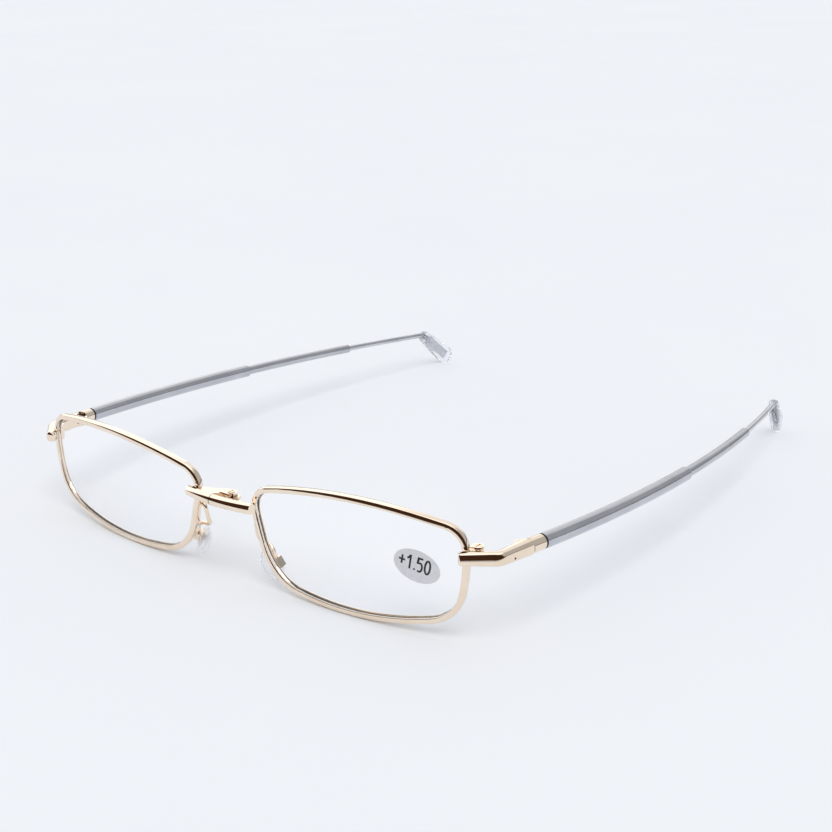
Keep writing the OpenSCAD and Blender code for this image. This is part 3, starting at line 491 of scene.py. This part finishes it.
def printed_line(line):
    """A stroke of ink along a line, as wide at its corners as between them."""
    closed = line is NOUGHT
    rings = []
    for i, p in enumerate(line):
        inner = 0 < i < len(line) - 1
        before = line[i - 1] if i else (line[-2] if closed else p)
        after = line[i + 1] if i + 1 < len(line) else (line[1] if closed else p)
        run = direction(before, after)
        wide = min(WIDEST_CORNER, 1 / max(SHARPEST_CORNER, direction(before, p).dot(run))) if inner else 1.0
        off = Vector((-run[1], run[0])) * STROKE / 2 * wide
        section = [(p[0] + off[0] * way, p[1] + off[1] * way, height) for way, height in INK_SECTION]
        rings.append([on_label(*corner) for corner in section])
    return skin(rings)


tip, pad = clear_tip(), dished_pad()
for side in SIDES:
    piece(f"{side}_clear_tip", on_side(tip, side), tip_clear, f"{side}_end", "tip", f"{side}_tip")
    piece(f"{side}_dished_pad", on_side(pad, side), pad_clear, f"{side}_pad", "pad", f"{side}_nose_pad")
printed = piece("power_figures", join(*map(printed_line, FIGURES)), ink, "front_left", "label")
for face in printed.data.polygons:
    face.use_smooth = False


# Studio, in metres: what polished metal sees is a bright tent on the left and overhead, a wall behind
# that turns grey to the right, a low dark skyline, and a dark room in front up to near the top.
# A side is a direction, and an edge or a top is where a colour begins or ends, blending between the two.
WALL_SIDE, ROOM_SIDE, UP = (1, 0.15, 0), (0.34, -0.94, 0), (0, 0, 1)
TENT = (1.35, 1.35, 1.35)
SOFT_WALL, SOFT_EDGE, SOFT_TOP = (0.92, 0.92, 0.93), (-0.44, -0.30), (0.76, 0.90)
GREY_WALL, GREY_EDGE, GREY_TOP = (0.47, 0.48, 0.50), (0.06, 0.34), (0.70, 0.82)
SKYLINE, SKYLINE_TOP = (0.16, 0.15, 0.15), (0.02, 0.14)
ROOM_DARK, ROOM_EDGE, ROOM_TOP = (0.045, 0.020, 0.010), (0.05, 0.20), (0.90, 0.97)
BACKGROUND = (0.87, 0.885, 0.918)
SKY_LIGHT, SKY_STRENGTH = (0.95, 0.97, 1.0), 0.76
FLOOR_R, FLOOR_AT = 9.0, (0, 0, -0.00005)
PAPER_LOW, PAPER_HIGH = (0.865, 0.882, 0.915), (0.88, 0.895, 0.925)
TABLE_FRONT, TABLE_EDGE = (0.603, -0.798, 0), (0.125, 0.155)
SUN_STRENGTH, SUN_ANGLE = 1.02, math.radians(38)
SUN_COLOUR, SUN_AIM = (1.0, 0.99, 0.97), (-0.42, 0.45, -1.0)


def floor():
    """White table paper. Mirrored in metal it ends in front of the glasses, where the dark room begins."""
    bpy.ops.mesh.primitive_circle_add(vertices=96, radius=FLOOR_R, fill_type="NGON", location=FLOOR_AT)
    table = bpy.context.object
    table.name = "floor"
    s = Shader("floor_paper")
    place = s.place()
    s.put(Specular_IOR_Level=0.1)
    s.tint(s.noise(place, scale=6), PAPER_LOW, PAPER_HIGH)
    s.gloss(s.noise(place, scale=60), 0.75, 0.9)
    rays = s.node("LightPath").outputs
    mirrored = s.reckon("GREATER_THAN", rays["Is Glossy Ray"], rays["Is Transmission Ray"])
    beyond = s.span(s.towards(place, TABLE_FRONT), *TABLE_EDGE)
    dark = s.node("Emission", Color=(*ROOM_DARK, 1))
    s.finish(s.mix(s.reckon("MULTIPLY", beyond, mirrored), s.bsdf.outputs[0], dark.outputs[0]))
    dress(table, s.material)


def world():
    """Plain light, a plain background, and the studio that only reflections show."""
    made = bpy.data.worlds.new("studio")
    made.use_nodes = True
    bpy.context.scene.world = made
    w = Tree(made.node_tree)
    w.tree.nodes.clear()
    around = w.node("TexCoord").outputs["Generated"]
    height = w.towards(around, UP)

    def below(top):
        """1 up to a height, and 0 above it."""
        return w.span(height, *top, 1.0, 0.0, soft=True)

    def beside(side, edge, top):
        """1 towards a side, up to a height."""
        return w.reckon("MULTIPLY", w.span(w.towards(around, side), *edge, soft=True), below(top))

    seen = (*TENT, 1)
    for colour, mask in (
        (SOFT_WALL, beside(WALL_SIDE, SOFT_EDGE, SOFT_TOP)),
        (GREY_WALL, beside(WALL_SIDE, GREY_EDGE, GREY_TOP)),
        (SKYLINE, below(SKYLINE_TOP)),
        (ROOM_DARK, beside(ROOM_SIDE, ROOM_EDGE, ROOM_TOP)),
    ):
        seen = w.node("MixRGB", Fac=mask, Color1=seen, Color2=(*colour, 1)).outputs[0]
    studio = w.node("Background", Color=seen)
    plain = w.node("Background", Color=(*SKY_LIGHT, 1), Strength=SKY_STRENGTH)
    behind = w.node("Background", Color=(*BACKGROUND, 1))
    rays = w.node("LightPath").outputs
    straight = w.reckon("MAXIMUM", rays["Is Camera Ray"], rays["Is Transmission Ray"])
    lit = w.mix(rays["Is Glossy Ray"], plain.outputs[0], studio.outputs[0])
    w.node("OutputWorld", Surface=w.mix(straight, lit, behind.outputs[0]))


def sun():
    """One soft lamp. Reflections show the tent and not the lamp."""
    lamp = bpy.data.objects.new("key", bpy.data.lights.new("key", "SUN"))
    lamp.data.energy = SUN_STRENGTH
    lamp.data.angle = SUN_ANGLE
    lamp.data.color = SUN_COLOUR
    lamp.visible_glossy = False
    lamp.rotation_euler = (-Vector(SUN_AIM)).to_track_quat("Z", "Y").to_euler()
    bpy.context.scene.collection.objects.link(lamp)


# Camera, in metres and degrees
CAMERA_AT = (0.2075, -0.28527, 0.13564)
AZIMUTH, ELEVATION, ROLL = 37.08, 18.86, -0.38
SENSOR_WIDTH, FOCAL_LENGTH, CLIP_START = 36.0, 63.65, 0.01


def camera():
    """A camera at the photographed angle."""
    eye = bpy.data.objects.new("camera", bpy.data.cameras.new("camera"))
    eye.data.sensor_width = SENSOR_WIDTH
    eye.data.lens = FOCAL_LENGTH
    eye.data.clip_start = CLIP_START
    azimuth, elevation = math.radians(AZIMUTH), math.radians(ELEVATION)
    level = math.cos(elevation)
    back = Vector((math.sin(azimuth) * level, -math.cos(azimuth) * level, math.sin(elevation)))
    right = Vector((math.cos(azimuth), math.sin(azimuth), 0))
    turn = Matrix((right, back.cross(right), back)).transposed().to_4x4()
    roll = Matrix.Rotation(math.radians(ROLL), 4, "Z")
    eye.matrix_world = Matrix.Translation(CAMERA_AT) @ turn @ roll
    bpy.context.scene.collection.objects.link(eye)
    bpy.context.scene.camera = eye


floor()
world()
sun()
camera()
bpy.context.scene.view_settings.view_transform = "Standard"

bpy.context.view_layer.update()
